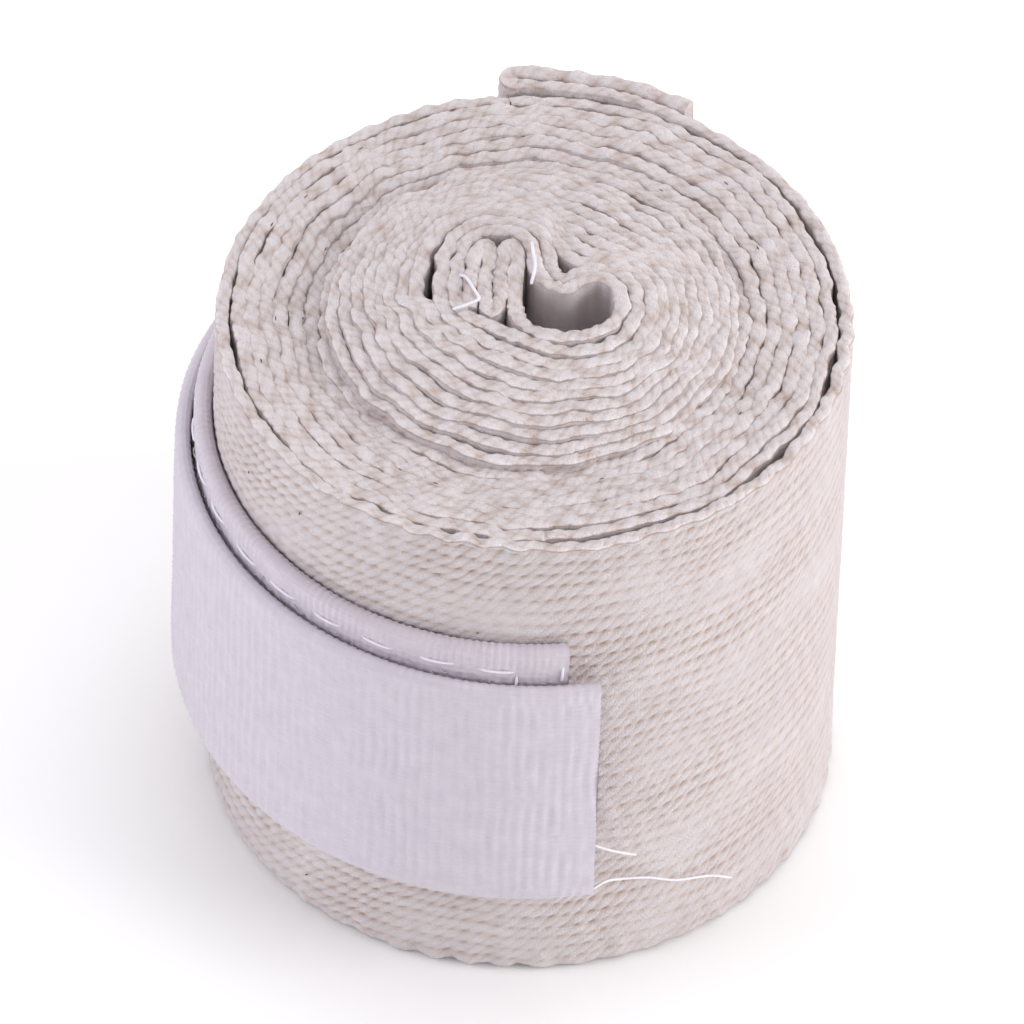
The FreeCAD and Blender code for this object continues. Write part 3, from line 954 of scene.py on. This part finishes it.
def smooth_points(points, count=28):
    """Smooth line through a few points in space."""
    p = np.array(points, float)
    t = np.linspace(0, 1, len(p))
    slope = np.gradient(p, t, axis=0)
    out = []
    for u in np.linspace(0, 1, count):
        i = min(int(u * (len(p) - 1)), len(p) - 2)
        h = t[i + 1] - t[i]
        out.append(curve_between(p, slope, i, h, (u - t[i]) / h))
    return np.array(out)


for name, rows in LOOSE.items():
    route = smooth_points(on_roll(*np.array(rows).T))
    piece = tubes(name + "_yarn", [route], TAIL_THREAD, 6, thread_finish)
    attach(piece, "tab_12")
    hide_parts(name)

core_thread = [(-5.9, 1.9, 51.9), (-5.3, 1.2, 52.4), (-4.5, -0.4, 52.7), (-4.1, -1.4, 52.8),
               (-4.9, -2.0, 52.7), (-6.1, -2.5, 52.5)]
end_thread = [(-0.4, 5.3, 52.8), (-0.2, 4.0, 53.1), (0.1, 2.4, 53.0), (-0.1, 1.0, 52.4)]
routes = [smooth_points(core_thread), smooth_points(end_thread)]
piece = tubes("core_threads", routes, TACK_THREAD, 6, thread_finish)
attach(piece, "core")
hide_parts("thumb_loop_tack")

# %% [markdown]
# ### Specks of plant husk
# Raw cotton isn't bleached or combed clean, so a few dark crumbs of the plant's husk are caught in the
# yarn. They are a few tenths of a millimetre long and matt brown. A noise in the cotton's material
# could draw them too, but a tiny tube for each keeps their number and size in hand.

# %% Specks
husk, tree = new_material("plant_husk")
grain = add_node(tree, "ShaderNodeTexNoise", {"Scale": 4000.0})
tone = add_node(tree, "ShaderNodeMix", {"Factor": grain.outputs[0], "A": linear("#3E3436"),
                                        "B": linear("#6B594C")}, data_type="RGBA")
surface = add_node(tree, "ShaderNodeBsdfPrincipled", {"Base Color": tone.outputs["Result"],
                                                      "Roughness": 0.8})
add_node(tree, "ShaderNodeOutputMaterial", {"Surface": surface.outputs[0]})
rng = np.random.default_rng(17)
specks = []
for _ in range(26):
    angle, z = rng.uniform(100, 280), rng.uniform(3, 48)
    radius = float(cloth_middle(angle - 360.0)) + CLOTH / 2
    turn, long = rng.uniform(0, math.pi), rng.uniform(0.2, 0.5)
    f = np.linspace(-0.5, 0.5, 3)
    specks.append(on_roll(angle + math.degrees(long * math.cos(turn) / radius) * f, radius - 0.02,
                          z + long * math.sin(turn) * f))
for angle, radius in zip(rng.uniform(0, 360, 16), rng.uniform(17.5, 23.5, 16)):
    f = np.linspace(-0.5, 0.5, 3)
    specks.append(on_roll(angle + 1.2 * f, radius, BAND_WIDTH - 0.12 + 0 * f))
piece = tubes("husk_specks", specks, 0.06, 4, husk)
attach(piece, "roll")
print("%d specks" % len(specks))

# %% [markdown]
# ## Studio
# A pale floor, a soft light from each side and a bright room give the even light of a plain product
# picture. The camera looks down at the roll from the front with a long lens, so it hardly converges.

# %% Floor
def floor_material():
    """Matt white paper."""
    material, tree = new_material("backdrop_paper")
    grain = add_node(tree, "ShaderNodeTexNoise", {"Scale": 60.0, "Detail": 3.0})
    tone = add_node(tree, "ShaderNodeMix", {"Factor": grain.outputs[0], "A": linear("#FBFAFB"),
                                            "B": linear("#FDFDFD")}, data_type="RGBA")
    surface = add_node(tree, "ShaderNodeBsdfPrincipled", {"Base Color": tone.outputs["Result"],
                                                          "Roughness": 0.9})
    add_node(tree, "ShaderNodeOutputMaterial", {"Surface": surface.outputs[0]})
    return material


size = 3.0
mesh = bpy.data.meshes.new("floor")
corners = [(-size, -size, 0), (size, -size, 0), (size, size, 0), (-size, size, 0)]
mesh.from_pydata(corners, [], [(0, 1, 2, 3)])
mesh.materials.append(floor_material())
floor = bpy.data.objects.new("floor", mesh)
bpy.context.scene.collection.objects.link(floor)


# %% Lights
def soft_box(name, place, target, width, power, colour="#FFFFFF"):
    """Square soft light aimed at a point."""
    data = bpy.data.lights.new(name, "AREA")
    data.size, data.energy, data.color = width, power, linear(colour)[:3]
    light = bpy.data.objects.new(name, data)
    bpy.context.scene.collection.objects.link(light)
    light.location = place
    aim = Vector(target) - light.location
    light.rotation_euler = aim.to_track_quat("-Z", "Y").to_euler()
    return light


middle = (0.0, 0.0, 0.025)
soft_box("light_right", (0.66, -0.12, 0.25), middle, 0.40, 3.1, "#FFFBFA")
soft_box("light_left", (-0.64, -0.14, 0.32), middle, 0.40, 1.9, "#F6F4FF")
soft_box("light_front", (0.0, -0.80, 0.10), middle, 0.40, 0.45)
soft_box("light_top", (0.05, 0.25, 0.85), middle, 0.60, 2.35)
world = bpy.data.worlds.new("room")
world.use_nodes = True
world.node_tree.nodes["Background"].inputs["Color"].default_value = linear("#FFFFFF")
world.node_tree.nodes["Background"].inputs["Strength"].default_value = 0.63
bpy.context.scene.world = world
bpy.context.scene.view_settings.view_transform = "Standard"

# %% Camera
ELEVATION = 47.0
AZIMUTH = 3.0
ROLL = 2.1
DISTANCE = 1.50
LENS = 655.0
aim = np.array([-0.0009, 0.0, 0.0268])
e, a = math.radians(ELEVATION), math.radians(AZIMUTH)
camera_data = bpy.data.cameras.new("camera")
camera_data.lens, camera_data.sensor_width = LENS, 36.0
camera = bpy.data.objects.new("camera", camera_data)
bpy.context.scene.collection.objects.link(camera)
away = np.array([math.sin(a) * math.cos(e), -math.cos(a) * math.cos(e), math.sin(e)])
camera.location = aim + DISTANCE * away
upright = (Vector(-away)).to_track_quat("-Z", "Y")
camera.rotation_euler = (upright @ Euler((0.0, 0.0, math.radians(ROLL))).to_quaternion()).to_euler()
bpy.context.scene.camera = camera
